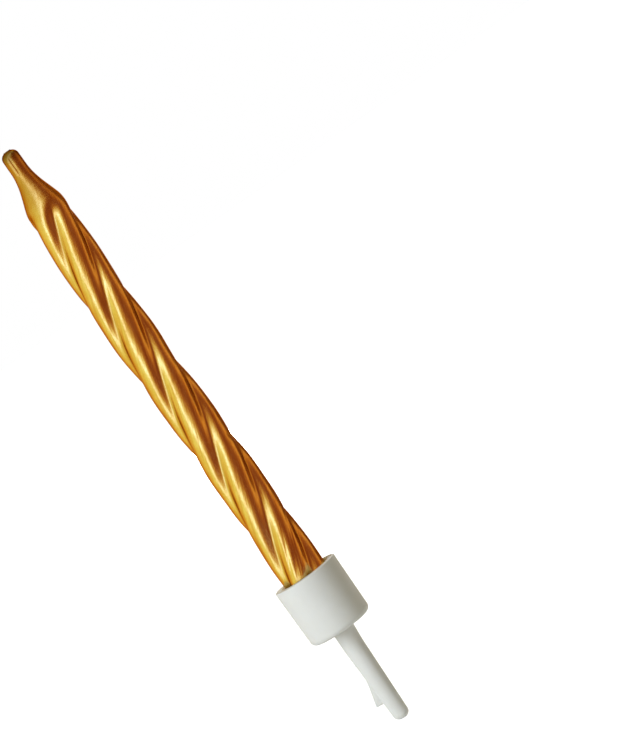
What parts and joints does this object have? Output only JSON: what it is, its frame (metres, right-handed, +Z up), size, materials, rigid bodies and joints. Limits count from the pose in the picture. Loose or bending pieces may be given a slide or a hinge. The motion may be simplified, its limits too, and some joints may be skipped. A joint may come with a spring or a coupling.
{
  "type": "spiral birthday candle",
  "caption": "Small twisted, fluted party candle with a gold coat and a wick, standing in a white moulded cup whose tapered pick pushes into a cake.",
  "frame": {"origin": "middle of the cup's underside, the ring that rests on the icing, on the candle's axis", "axes": "+Z up along the candle towards the wick, the pick points down -Z, and the moulding's gate scar is on the -X side of the pick"},
  "size_m": [0.0082, 0.0082, 0.0794],
  "materials": {
    "white_plastic": "satin",
    "wax": "satin",
    "gold_lacquer": "satin",
    "cotton": "matte"
  },
  "bodies": {
    "holder": {"holder": "white_plastic"},
    "candle": {"wax_core": "wax", "gold_coat": "gold_lacquer", "wick": "cotton"}
  },
  "joints": [
    {"name": "candle_pull", "type": "slide", "parent": "holder", "child": "candle", "axis": [0, 0, 1], "range_m": [0, 0.01]}
  ]
}
